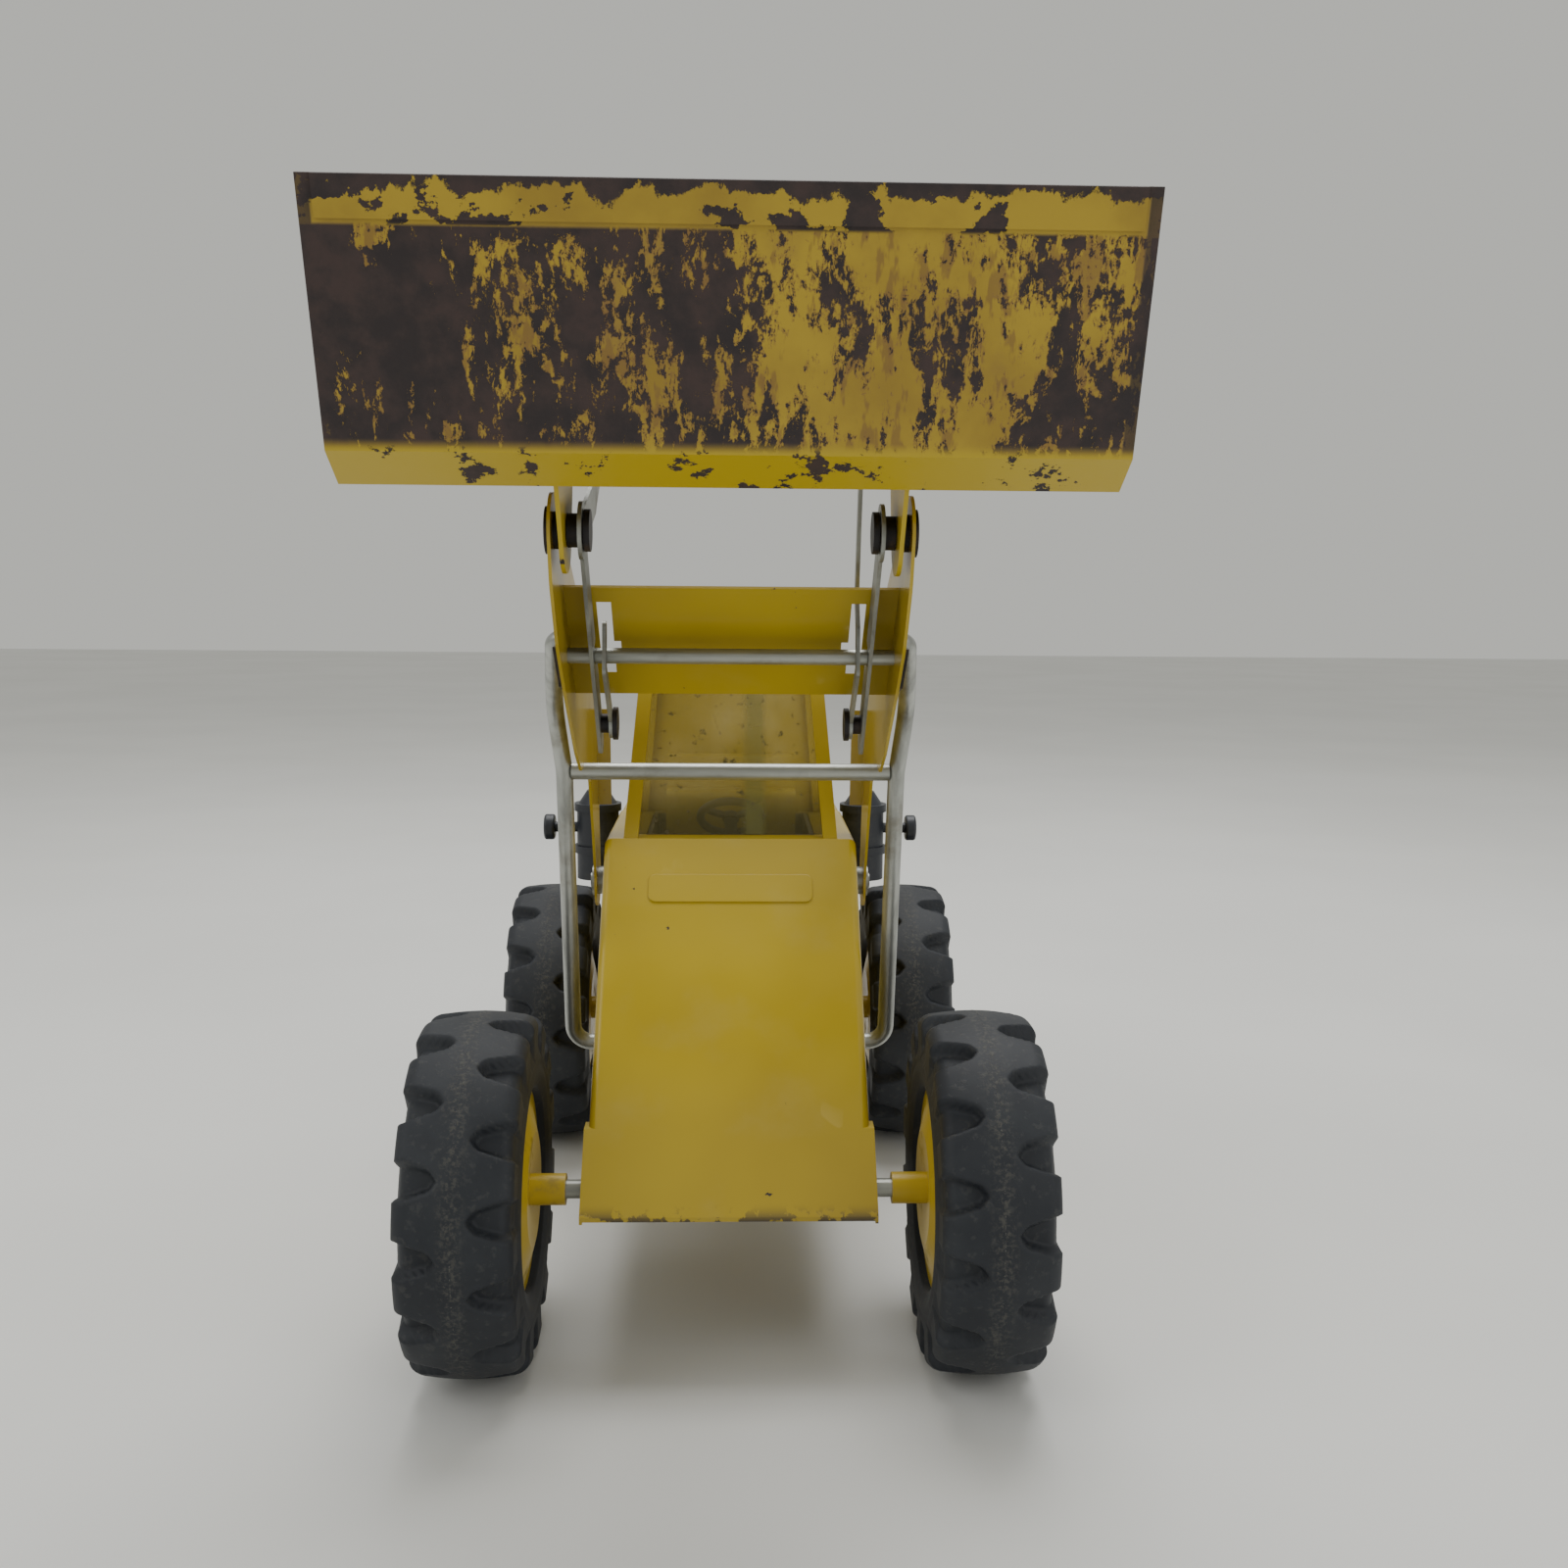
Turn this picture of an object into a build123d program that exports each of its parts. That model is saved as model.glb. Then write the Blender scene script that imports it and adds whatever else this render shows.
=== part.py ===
from build123d import *
import math
import os

# Toy front loader in pressed steel, with raised lift arms and a curled bucket.
# Millimetres.  X runs across the toy, -Y is the front, +Z is up.
# The pieces are laid out with the front axle at y = 0 and the floor at z = 0,
# and shifted at the end so that the origin is the middle of the toy's base.

# --- driving dimensions ------------------------------------------------------
sheet = 1.0                    # pressed steel thickness
lever_sheet = 1.2              # zinc lever thickness
running_gap = 0.08             # radial clearance of a turning fit
side_gap = 0.3                 # clearance between faces that pass each other
nut_gap = 0.25                 # hub end to push nut

wheelbase = 233.0
tyre_diameter = 120.0
tyre_width = 38.0
lug_count = 15
lug_height = 5.0
sidewall = 26.0                # height of the tyre from the hub to its outside
axle_diameter = 6.3
hub_boss_radius = 5.3

body_half_width = 48.5
cheek_bulge = 1.5              # how far the cheeks beside the front axle stand out
deck_height = 167.0
ledge_height = 112.0           # rear chassis top, where the engine hood stands
sill_drop = 8.0                # axle centre down to the lower edge of the body sides
nose_top_y = 84.0
nose_bottom_y = -11.4
nose_drop = 5.6                # axle centre down to the nose panel's lower edge
cab_rear_y = 165.0
rear_overhang = 67.0           # body behind the rear axle
grille_depth = 12.0

pivot_y = 99.0                 # lift arm pivot
pivot_z = 148.0
hinge_y = -46.0                # bucket hinge, arms raised
hinge_z = 279.0
arm_gap = 3.5                  # body side to lift arm
pivot_pin_radius = 3.0
arm_pivot_end_radius = 10.0
arm_hinge_end_radius = 11.0
hinge_pin_radius = 2.5

bail_rod_radius = 3.0
bail_offset = 6.0              # arm outer face to bail centreline
bail_bulge = 2.6               # how far the bail swells outward above its crossbar
crossbar_y = 41.0
crossbar_z = 198.0
foot_y = 66.0
foot_z = 92.0
arm_travel = 66.0              # degrees that the arms lower
tie_rod_radius = 2.5

bucket_half_width = 108.0
bucket_floor = 69.0
bucket_back = 58.0
hem_width = 10.5

post_half_width = 2.75
cab_height = 248.0
steering_radius = 14.0
canister_radius = 11.0
canister_gap = 3.0              # body side to air cleaner
knob_reach = 9.0               # air cleaner to its side knob

# --- worked-out places -------------------------------------------------------
tyre_radius = tyre_diameter / 2
axle_radius = axle_diameter / 2
hub_radius = tyre_radius - sidewall
axle_z = tyre_radius
sill_height = axle_z - sill_drop
nose_bottom_z = axle_z - nose_drop
arm_inner = body_half_width + arm_gap
arm_outer = arm_inner + sheet
bail_x = arm_outer + bail_offset
bulge_x = bail_x + bail_bulge
tyre_inner = bulge_x + bail_rod_radius + 0.4
tyre_outer = tyre_inner + tyre_width
tyre_middle = (tyre_inner + tyre_outer) / 2
boss_inner = arm_outer + 2.3
slot_radius = math.hypot(foot_y - pivot_y, foot_z - pivot_z)
nose_length = math.hypot(nose_top_y - nose_bottom_y, deck_height - nose_bottom_z)
nose_slope = ((nose_top_y - nose_bottom_y) / nose_length, (deck_height - nose_bottom_z) / nose_length)
body_rear_y = wheelbase + rear_overhang
pieces = {}


def across(profile, x_from, x_to):
    """A side-view profile (y, z) given thickness from one x to another."""
    return extrude(Plane.YZ.offset(x_from) * profile, amount=x_to - x_from)


def outline(points, radii=0.0):
    """A closed face through side-view points, with rounded corners."""
    return make_face(FilletPolyline(*points, radius=radii, close=True))


def disc(y, z, radius):
    """A round face in side view."""
    return Pos(y, z) * Circle(radius)


def pin(y, z, radius, x_from, x_to):
    """A round bar across the toy."""
    return across(disc(y, z, radius), x_from, x_to)


def other_side(shape):
    """The same piece on the other side of the toy."""
    return mirror(shape, about=Plane.YZ)


def bar(y_from, z_from, y_to, z_to, half_width):
    """A flat strip in side view with round ends."""
    length = math.hypot(y_to - y_from, z_to - z_from)
    angle = math.degrees(math.atan2(z_to - z_from, y_to - y_from))
    middle = Pos((y_from + y_to) / 2, (z_from + z_to) / 2) * Rot(0, 0, angle)
    return middle * SlotCenterToCenter(length, 2 * half_width)


def on_nose(along, off=0.0):
    """A side-view point on the nose panel's outer line, and off it to the front."""
    y = nose_bottom_y + nose_slope[0] * along - nose_slope[1] * off
    z = nose_bottom_z + nose_slope[1] * along + nose_slope[0] * off
    return y, z


def keep(name, shape):
    """Store a piece under its node name, refusing an empty one."""
    solids = shape.solids()
    assert len(solids) > 0, name
    pieces[name] = solids[0] if len(solids) == 1 else Compound(children=list(solids))


# --- body shell: nose, deck, sides and rear chassis in one pressing ----------
def body_profile(inset):
    """Side outline of the shell, moved in by a wall; the inner one is open below."""
    foot = sill_height if inset == 0 else sill_height - 10
    low_y, low_z = on_nose(0, -inset)
    top_y = nose_top_y + inset * (1 + nose_slope[0]) / nose_slope[1]
    run = (low_z - foot) / nose_slope[1]
    start = (low_y - nose_slope[0] * run, foot) if inset else (low_y, foot)
    points = [start]
    if inset == 0:
        points.append((low_y, low_z))
    points += [
        (top_y - inset, deck_height - inset),
        (cab_rear_y - inset, deck_height - inset),
        (cab_rear_y - inset, ledge_height - inset),
        (body_rear_y - inset, ledge_height - inset),
        (body_rear_y - inset, foot),
    ]
    return make_face(Polyline(*points, close=True))


cheek_top = sill_height + 26
cheek_back = 16.0
cheek_half = body_half_width + cheek_bulge
slot_half = bail_rod_radius + 0.5
shell = across(body_profile(0), -body_half_width, body_half_width)
long_edges = shell.edges().filter_by(lambda e: abs(abs(e.center().X) - body_half_width) < 0.01)
long_edges = long_edges.filter_by(lambda e: e.center().Z > nose_bottom_z + 5 and e.center().Y < cab_rear_y - 5)
long_edges = long_edges.filter_by(lambda e: e.center().Z > ledge_height - 5)
shell = fillet(long_edges, 3 * sheet)
cheek_box = Pos(0, (cheek_back + nose_bottom_y) / 2, (cheek_top + sill_height) / 2)
cheek_box = cheek_box * Box(2 * cheek_half, cheek_back - nose_bottom_y, cheek_top - sill_height)
behind_nose = across(
    make_face(Polyline(
        (nose_bottom_y, 0), (nose_bottom_y, nose_bottom_z), on_nose(nose_length), (nose_top_y, 0), close=True)),
    -2 * body_half_width, 2 * body_half_width)
shell += cheek_box & behind_nose
inner = across(body_profile(sheet), -(body_half_width - sheet), body_half_width - sheet)
cheek_hollow_y = (cheek_back - sheet + nose_bottom_y) / 2
cheek_hollow = Pos(0, cheek_hollow_y, (cheek_top - sheet) / 2)
cheek_hollow = cheek_hollow * Box(2 * (cheek_half - sheet), cheek_back - sheet - nose_bottom_y, cheek_top - sheet)
behind_panel = across(
    make_face(Polyline(
        on_nose(-60, -sheet), on_nose(nose_length, -sheet), (nose_top_y + 40, deck_height), (nose_top_y + 40, 0),
        close=True)), -2 * body_half_width, 2 * body_half_width)
shell -= inner
shell -= cheek_hollow & behind_panel
# folded lip under the nose panel, a cab well in the deck, and the holes
shell += Pos(0, nose_bottom_y + 2.6, nose_bottom_z - sheet / 2) * Box(2 * (body_half_width - sheet) + 0.2, 5, sheet)
well_front = nose_top_y + 10
well_back = cab_rear_y - 10
shell -= Pos(0, (well_front + well_back) / 2, deck_height) * Box(66, well_back - well_front, 4)
shell -= pin(0, axle_z, axle_radius + running_gap, -cheek_half - 1, cheek_half + 1)
shell -= pin(wheelbase, axle_z, axle_radius + running_gap, -cheek_half - 1, cheek_half + 1)
shell -= pin(pivot_y, pivot_z, pivot_pin_radius + running_gap, -cheek_half - 1, cheek_half + 1)
foot_angle = math.degrees(math.atan2(foot_z - pivot_z, foot_y - pivot_y))
slot_path = CenterArc((pivot_y, pivot_z), slot_radius, foot_angle - 1, arm_travel + 2)
slot_face = Plane.YZ.offset(-cheek_half - 1) * SlotArc(slot_path, 2 * slot_half)
shell -= extrude(slot_face, amount=2 * cheek_half + 2)
# plain raised oblong near the top of the nose panel
badge_y, badge_z = on_nose(nose_length - 22)
badge_plane = Plane(
    origin=(0, badge_y, badge_z), x_dir=(1, 0, 0), z_dir=(0, -nose_slope[1], nose_slope[0]))
badge = extrude(badge_plane.offset(-0.3) * RectangleRounded(62, 12, 3), amount=1.0)
shell += fillet(badge.edges().group_by(SortBy.LENGTH)[-1], 0.3)
keep("body_shell", shell)

# --- base plate with its screws ----------------------------------------------
plate_front = 30.0
plate_z = sill_height + 3
plate_half = body_half_width - sheet - 0.1
plate_back = body_rear_y - sheet - 0.1
plate = Pos(0, (plate_front + plate_back) / 2, plate_z)
plate = plate * Box(2 * plate_half, plate_back - plate_front, sheet)
screw_spots = [(x, y) for x in (-30, 30) for y in (plate_front + 12, body_rear_y - 18)]
screw_radius = 1.5
screw_head_radius = 2.6
screw_length = 6.0
screws = []
for screw_x, screw_y in screw_spots:
    spot = Pos(screw_x, screw_y, plate_z)
    sink = Cone(screw_head_radius + running_gap, screw_radius + running_gap, sheet)
    plate -= spot * sink
    head = Cone(screw_head_radius, screw_radius, sheet)
    shank = Pos(0, 0, screw_length / 2) * Cylinder(screw_radius, screw_length - sheet + 0.2)
    screws.append(spot * (head + shank))
keep("base_plate", plate)
keep("base_screws", Compound(children=screws))

# --- engine hood, rear grille -------------------------------------------------
hood_front = cab_rear_y + 0.1
hood_top = deck_height + 1
hood_height = hood_top - ledge_height
hood = Pos(0, (hood_front + body_rear_y) / 2, ledge_height + hood_height / 2)
hood = hood * Box(2 * body_half_width, body_rear_y - hood_front, hood_height)
hood = fillet(hood.edges().filter_by(Axis.Y).group_by(Axis.Z)[-1], 6)
hood_hollow = Pos(0, (hood_front + body_rear_y) / 2, ledge_height + hood_height / 2 - sheet)
hood_hollow = hood_hollow * Box(
    2 * (body_half_width - sheet), body_rear_y - hood_front - 2 * sheet, hood_height)
hood -= fillet(hood_hollow.edges().filter_by(Axis.Y).group_by(Axis.Z)[-1], 5)
louvre_y = [cab_rear_y + 75 + 9 * i for i in range(5)]
for y in louvre_y:
    hood -= Pos(0, y, ledge_height + 0.5 * hood_height) * Box(4 * body_half_width, 3, 24)
for x in (-18, 0, 18):
    hood += Pos(x, (hood_front + body_rear_y) / 2, hood_top) * Box(5, 90, 2 * 0.8)
keep("engine_hood", hood)
grille = Pos(0, body_rear_y + grille_depth / 2 + 0.05, (hood_top + sill_height) / 2)
grille = grille * Box(2 * body_half_width - 6, grille_depth, hood_top - sill_height - 6)
grille = fillet(grille.edges().filter_by(Axis.Y), 4)
for i in range(7):
    z = sill_height + 18 + 13 * i
    grille -= Pos(0, body_rear_y + grille_depth, z) * Box(2 * body_half_width - 24, 8, 5)
keep("rear_grille", grille)

# --- cab: canopy with four posts, windshield, floor, seat --------------------
post_low_x = 38.5
post_high_x = 32.0
post_foot_y = nose_top_y + 4
post_head_y = post_foot_y + 30
roof_thick = 3.0
roof_z = cab_height - roof_thick / 2


def strut(low, high, half_x, half_y):
    """A flat post between two points, cut level at both ends."""
    lower = Plane(origin=low) * Rectangle(2 * half_x, 2 * half_y)
    upper = Plane(origin=high) * Rectangle(2 * half_x, 2 * half_y)
    return loft([lower, upper])


canopy = Pos(0, (post_head_y + cab_rear_y) / 2 - 3, roof_z)
canopy = canopy * Box(2 * post_high_x + 8, cab_rear_y - post_head_y + 10, roof_thick)
canopy = fillet(canopy.edges().filter_by(Axis.Z), 4)
rear_wall_y = cab_rear_y - 4
for side in (-1, 1):
    front_low = (side * post_low_x, post_foot_y, deck_height)
    front_high = (side * post_high_x, post_head_y, cab_height - 1)
    canopy += strut(front_low, front_high, post_half_width, post_half_width)
    back_low = (side * post_low_x, rear_wall_y, deck_height)
    back_high = (side * post_high_x, rear_wall_y, cab_height - 1)
    canopy += strut(back_low, back_high, post_half_width, post_half_width)
back_panel = make_face(Polyline(
    (-post_low_x, deck_height), (post_low_x, deck_height), (post_high_x, cab_height - 1),
    (-post_high_x, cab_height - 1), close=True))
canopy += extrude(Plane.XZ.offset(-rear_wall_y) * back_panel, amount=-sheet)
keep("cab_canopy", canopy)
glass_lift = 0.3
glass = loft([
    Plane(origin=(0, post_foot_y + 5.5, deck_height + glass_lift)) * Rectangle(2 * post_low_x, sheet),
    Plane(origin=(0, post_head_y + 4.4, cab_height - roof_thick - 0.4)) * Rectangle(2 * post_high_x, sheet)])
keep("windshield", glass)
tub_depth = 14.0
tub_half_x = 32.5
floor_z = deck_height - tub_depth
tub_y = (well_front + well_back) / 2
tub_length = well_back - well_front - 1
tub = Pos(0, tub_y, (floor_z + deck_height) / 2) * Box(2 * tub_half_x, tub_length, tub_depth)
tub_flange = Pos(0, tub_y, deck_height - sheet - 0.55) * Box(2 * tub_half_x + 9, tub_length + 9, sheet)
tub_hollow = Pos(0, tub_y, (floor_z + deck_height) / 2 + 2)
tub_hollow = tub_hollow * Box(2 * tub_half_x - 3, tub_length - 3, tub_depth)
keep("cab_floor", tub + tub_flange - tub_hollow)
floor_top = floor_z + 2
seat_height = 24.0
seat_back_height = 38.0
seat_back_y = well_back - 4.2
cushion = Pos(0, seat_back_y - 8, floor_top + seat_height / 2) * Box(54, 14.5, seat_height)
cushion = fillet(cushion.edges().filter_by(Axis.X).group_by(Axis.Z)[-1], 3)
seat_back = Pos(0, seat_back_y, floor_top + seat_back_height / 2) * Box(54, 3.4, seat_back_height)
keep("bench_seat", cushion + fillet(seat_back.edges().filter_by(Axis.X).group_by(Axis.Z)[-1], 1.2))

# --- steering: column on the floor, ring and spokes on a stub ------------------
wheel_y = nose_top_y + 37
wheel_z = deck_height + 3
column_tilt = 40.0
wheel_plane = Plane(
    origin=(0, wheel_y, wheel_z), x_dir=(1, 0, 0),
    z_dir=(0, math.sin(math.radians(column_tilt)), math.cos(math.radians(column_tilt))))
column_drop = (wheel_z - floor_top) / math.cos(math.radians(column_tilt)) + 4
column = extrude(wheel_plane.offset(-column_drop) * Circle(2.6), amount=column_drop - 1.6)
above_floor = Pos(0, wheel_y, floor_top + 40) * Box(80, 80, 80)
column = column & above_floor
column += extrude(wheel_plane.offset(-2) * Circle(1.4), amount=4.4)
keep("steering_column", column)
ring = wheel_plane * Torus(steering_radius - 1.7, 1.7)
ring += extrude(wheel_plane.offset(-1.2) * Circle(3.4), amount=2.4)
for angle in (90, 210, 330):
    arm = Pos(steering_radius / 2, 0) * Rectangle(steering_radius - 2, 2.4)
    ring += extrude(wheel_plane.offset(-0.9) * (Rot(0, 0, angle) * arm), amount=1.8)
ring -= extrude(wheel_plane.offset(-5) * Circle(1.4 + running_gap), amount=10)
keep("steering_wheel", ring)

# --- air cleaners beside the hood ----------------------------------------------
canister_y = wheelbase - 14
canister_x = body_half_width + canister_radius + canister_gap
canister_low = ledge_height + 15
rim_height = 3.5
for side_name, side in (("left", -1), ("right", 1)):
    base = Pos(side * canister_x, canister_y, canister_low)
    can = base * Pos(0, 0, 16) * Cylinder(canister_radius - 1.2, 32)
    can += base * Pos(0, 0, 14) * Cylinder(canister_radius, rim_height)
    lug_width = 2 * canister_gap + 4
    can += Pos(side * (canister_x - canister_radius), canister_y, canister_low + 8) * Box(lug_width, 10, 12)
    can = can - Pos(side * (body_half_width / 2), canister_y, canister_low) * Box(body_half_width + 0.1, 60, 90)
    stub_x = canister_x + canister_radius - 3
    stub_plane = Plane(origin=(side * stub_x, canister_y, canister_low + 24), z_dir=(side, 0, 0))
    can += extrude(stub_plane * Circle(2.4), amount=3 + knob_reach)
    keep("air_cleaner_" + side_name, can)
    cap = base * Pos(0, 0, 32 + rim_height / 2 + 0.05) * Cylinder(canister_radius, rim_height)
    cap += base * Pos(0, 0, 32 + rim_height + 3.05) * Cone(canister_radius - 2, 5, 6)
    keep("air_cleaner_cap_" + side_name, cap)
    knob = extrude(stub_plane.offset(3.05 + knob_reach) * Circle(6), amount=5)
    knob = fillet(knob.edges(), 1.2)
    keep("air_cleaner_knob_" + side_name, knob)

# --- wheels: turned along X, hub inside a hollow treaded tyre --------------------
tread_radius = tyre_radius - lug_height
tread_half = tyre_width / 2
shoulder = tread_half - 7


def tyre_solid():
    """Tyre about the X axis, centred on its own middle, with staggered lugs."""
    carcass = make_face(Polyline(
        (-tread_half + 1, hub_radius), (-tread_half, hub_radius + 5), (-tread_half, tread_radius - 6),
        (-tread_half + 4, tread_radius - 1), (0, tread_radius + 0.8), (tread_half - 4, tread_radius - 1),
        (tread_half, tread_radius - 6), (tread_half, hub_radius + 5), (tread_half - 1, hub_radius), close=True))
    tyre = revolve(Plane.XY * carcass, Axis.X)
    lug_face = make_face(Polyline(
        (2.0, tread_radius - 3), (2.0, tyre_radius), (shoulder, tyre_radius - 0.4),
        (tread_half - 0.6, tyre_radius - 5), (tread_half - 0.3, tread_radius - 9), (shoulder, tread_radius - 6),
        close=True))
    step = 360 / lug_count
    lug = revolve(Plane.XY * lug_face, Axis.X, step * 0.50)
    for i in range(lug_count):
        tyre += Rot(i * step, 0, 0) * lug
        tyre += Rot((i + 0.5) * step, 0, 0) * mirror(lug, about=Plane.YZ)
    return tyre


def hub_solid():
    """Hub about the X axis: dished disc, rim and a long boss towards the body (-X)."""
    reach = tyre_middle - boss_inner
    profile = make_face(Polyline(
        (-reach, axle_radius + running_gap), (-reach, hub_boss_radius), (-reach + 12, hub_boss_radius),
        (-tread_half + 1, 19), (-tread_half + 4, hub_radius - 3), (-tread_half + 4, hub_radius - 0.05),
        (tread_half - 4, hub_radius - 0.05), (tread_half - 4, hub_radius - 3), (8 - tread_half, hub_radius - 4),
        (8 - tread_half, 10), (tread_half - 8, 7.5), (tread_half - 8, axle_radius + running_gap), close=True))
    return revolve(Plane.XY * profile, Axis.X)


tyre_model = tyre_solid()
hub_model = hub_solid()
axle_end = tyre_middle + tread_half - 8 + nut_gap
nuts = []
for end_name, end_y in (("front", 0), ("rear", wheelbase)):
    keep(end_name + "_axle", pin(end_y, axle_z, axle_radius, -axle_end - 3.5, axle_end + 3.5))
    for side_name, side in (("left", -1), ("right", 1)):
        place = Pos(side * tyre_middle, end_y, axle_z)
        tyre = tyre_model if side > 0 else mirror(tyre_model, about=Plane.YZ)
        hub = hub_model if side > 0 else mirror(hub_model, about=Plane.YZ)
        keep("tyre_" + end_name + "_" + side_name, place * tyre)
        keep("hub_" + end_name + "_" + side_name, place * hub)
        nut_from = min(side * axle_end, side * (axle_end + 3))
        nut = pin(end_y, axle_z, 7, nut_from, nut_from + 3) - pin(end_y, axle_z, axle_radius, -200, 200)
        nuts.append(nut)
keep("axle_nuts", Compound(children=nuts))

# --- lift arm frame: two plates, cross web and rear flanges ------------------------
web_low = (hinge_y + 59, hinge_z - 51.5)
web_high = (hinge_y + 23, hinge_z - 16.5)
web_slope = math.atan2(web_high[1] - web_low[1], web_high[0] - web_low[0])
web_back = (math.sin(web_slope), -math.cos(web_slope))
if web_back[1] < 0:
    web_back = (-web_back[0], -web_back[1])
arm_points = [
    (hinge_y - arm_hinge_end_radius + 0.3, hinge_z - 2.5), (hinge_y - 6, hinge_z - 16),
    (hinge_y + 10, hinge_z - 35.5), (hinge_y + 28, hinge_z - 49),
    (crossbar_y - 25, crossbar_z + 9), (crossbar_y - 8, crossbar_z + 1), (crossbar_y + 9, crossbar_z + 2),
    (crossbar_y + 25, crossbar_z - 6), (pivot_y - 19, pivot_z + 21), (pivot_y - 9.7, pivot_z + 2.4),
    (pivot_y + arm_pivot_end_radius, pivot_z), (pivot_y + 1, pivot_z + 40), (pivot_y - 4, pivot_z + 72),
    (pivot_y - 9, pivot_z + 81), (hinge_y + 4.6, hinge_z + 10)]
arm_radii = [0, 20, 20, 20, 12, 2, 2, 8, 15, 0, 0, 60, 8, 10, 0]
arm_face = outline(arm_points, arm_radii)
arm_face += disc(hinge_y, hinge_z, arm_hinge_end_radius)
arm_face += disc(pivot_y, pivot_z, arm_pivot_end_radius)
arm_face -= disc(crossbar_y, crossbar_z, bail_rod_radius)
arm_face -= disc(pivot_y, pivot_z, pivot_pin_radius)
arm_face -= disc(hinge_y, hinge_z, hinge_pin_radius)
rod_y = hinge_y + 35.5
rod_z = hinge_z - 38.0
bail_end_y = 5.0
bail_end_z = 246.0
arm_face -= disc(rod_y, rod_z, tie_rod_radius)
arm_face -= disc(bail_end_y, bail_end_z, bail_rod_radius)
arm = across(arm_face, arm_inner, arm_outer)
web_face = make_face(Polyline(
    web_low, web_high, (web_high[0] + sheet * web_back[0], web_high[1] + sheet * web_back[1]),
    (web_low[0] + sheet * web_back[0], web_low[1] + sheet * web_back[1]), close=True))
frame = arm + other_side(arm) + across(web_face, -arm_inner - 0.5, arm_inner + 0.5)
flange_low = (pivot_y + 2.3, pivot_z + 30)
flange_mid = (pivot_y + 1, pivot_z + 40)
flange_high = (pivot_y - 3.4, pivot_z + 68)
flange_face = make_face(Polyline(
    flange_low, flange_mid, flange_high, (flange_high[0] - sheet, flange_high[1]),
    (flange_mid[0] - sheet, flange_mid[1]), (flange_low[0] - sheet, flange_low[1]), close=True))
flange = across(flange_face, arm_inner - 5, arm_inner + 0.5)
frame += flange
frame += other_side(flange)
# windows in the web let the latch ties through
tie_x = arm_inner - 12
lever_x = arm_inner - 8.6
window_top = hinge_z - 21
window_low = hinge_z - 44
for side in (-1, 1):
    window = Pos(side * tie_x, 0, (window_top + window_low) / 2) * Box(4.6, 120, window_top - window_low)
    notch = Pos(side * (tie_x - 2.5), 0, window_low + 7) * Box(4, 120, 7)
    reach = Pos(0, web_low[0] - 30, web_low[1] + 10) * Box(200, 64, 80)
    frame -= (window + notch) & reach
keep("lift_arm_frame", frame)

# --- arm pivot pin, keeper plates, tie rod, bail and crossbar ---------------------
pivot_head = 2.0
pivot_axle = pin(pivot_y, pivot_z, pivot_pin_radius, -arm_outer - pivot_head, arm_outer + pivot_head)
keep("arm_pivot_pin", pivot_axle)
caps = []
spacer_tubes = []
for side in (-1, 1):
    cap_low = min(side * arm_outer, side * (arm_outer + 1.2))
    cap_disc = pin(pivot_y, pivot_z, 6, cap_low, cap_low + 1.2)
    caps.append(cap_disc - pin(pivot_y, pivot_z, pivot_pin_radius, -200, 200))
    tube_low = min(side * (body_half_width + side_gap), side * arm_inner)
    tube = pin(pivot_y, pivot_z, 5.5, tube_low, tube_low + arm_gap - side_gap)
    spacer_tubes.append(tube - pin(pivot_y, pivot_z, pivot_pin_radius, -200, 200))
keep("arm_pivot_caps", Compound(children=caps))
keep("arm_pivot_spacers", Compound(children=spacer_tubes))

tie_rod_end = arm_outer + lever_sheet
keep("tie_rod", pin(rod_y, rod_z, tie_rod_radius, -tie_rod_end, tie_rod_end))
keeper_face = make_face(Polyline(
    (hinge_y + 11.5, hinge_z - 34.5), (hinge_y + 28, hinge_z - 47.5), (hinge_y + 44, hinge_z - 50),
    (bail_end_y + 6, bail_end_z - 4), (bail_end_y + 4, bail_end_z + 6), (bail_end_y - 5, bail_end_z + 6),
    (rod_y - 4, rod_z + 4), close=True))
keeper_face -= disc(rod_y, rod_z, tie_rod_radius)
keeper_face -= disc(bail_end_y, bail_end_z, bail_rod_radius)
for side_name, side in (("left", -1), ("right", 1)):
    plate_low = min(side * arm_outer, side * (arm_outer + lever_sheet))
    keep("keeper_plate_" + side_name, across(keeper_face, plate_low, plate_low + lever_sheet))

bail_points = [
    (body_half_width - 3.5, foot_y, foot_z), (bail_x, foot_y, foot_z), (bail_x, crossbar_y, crossbar_z),
    (bulge_x, crossbar_y - 6, crossbar_z + 23), (bail_x - 0.8, bail_end_y, bail_end_z),
    (arm_inner - 2.5, bail_end_y, bail_end_z)]
bail_path = FilletPolyline(*bail_points, radius=[7, 25, 25, 4.2])
bail_section = Plane(origin=bail_path @ 0, z_dir=bail_path % 0) * Circle(bail_rod_radius)
bail_leg = sweep(bail_section, path=bail_path)
crossbar_end = bail_x - bail_rod_radius + 0.4
crossbar = pin(crossbar_y, crossbar_z, bail_rod_radius, -crossbar_end, crossbar_end)
keep("bail_left", other_side(bail_leg) - crossbar)
keep("bail_right", bail_leg - crossbar)
keep("bail_crossbar", crossbar)

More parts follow.
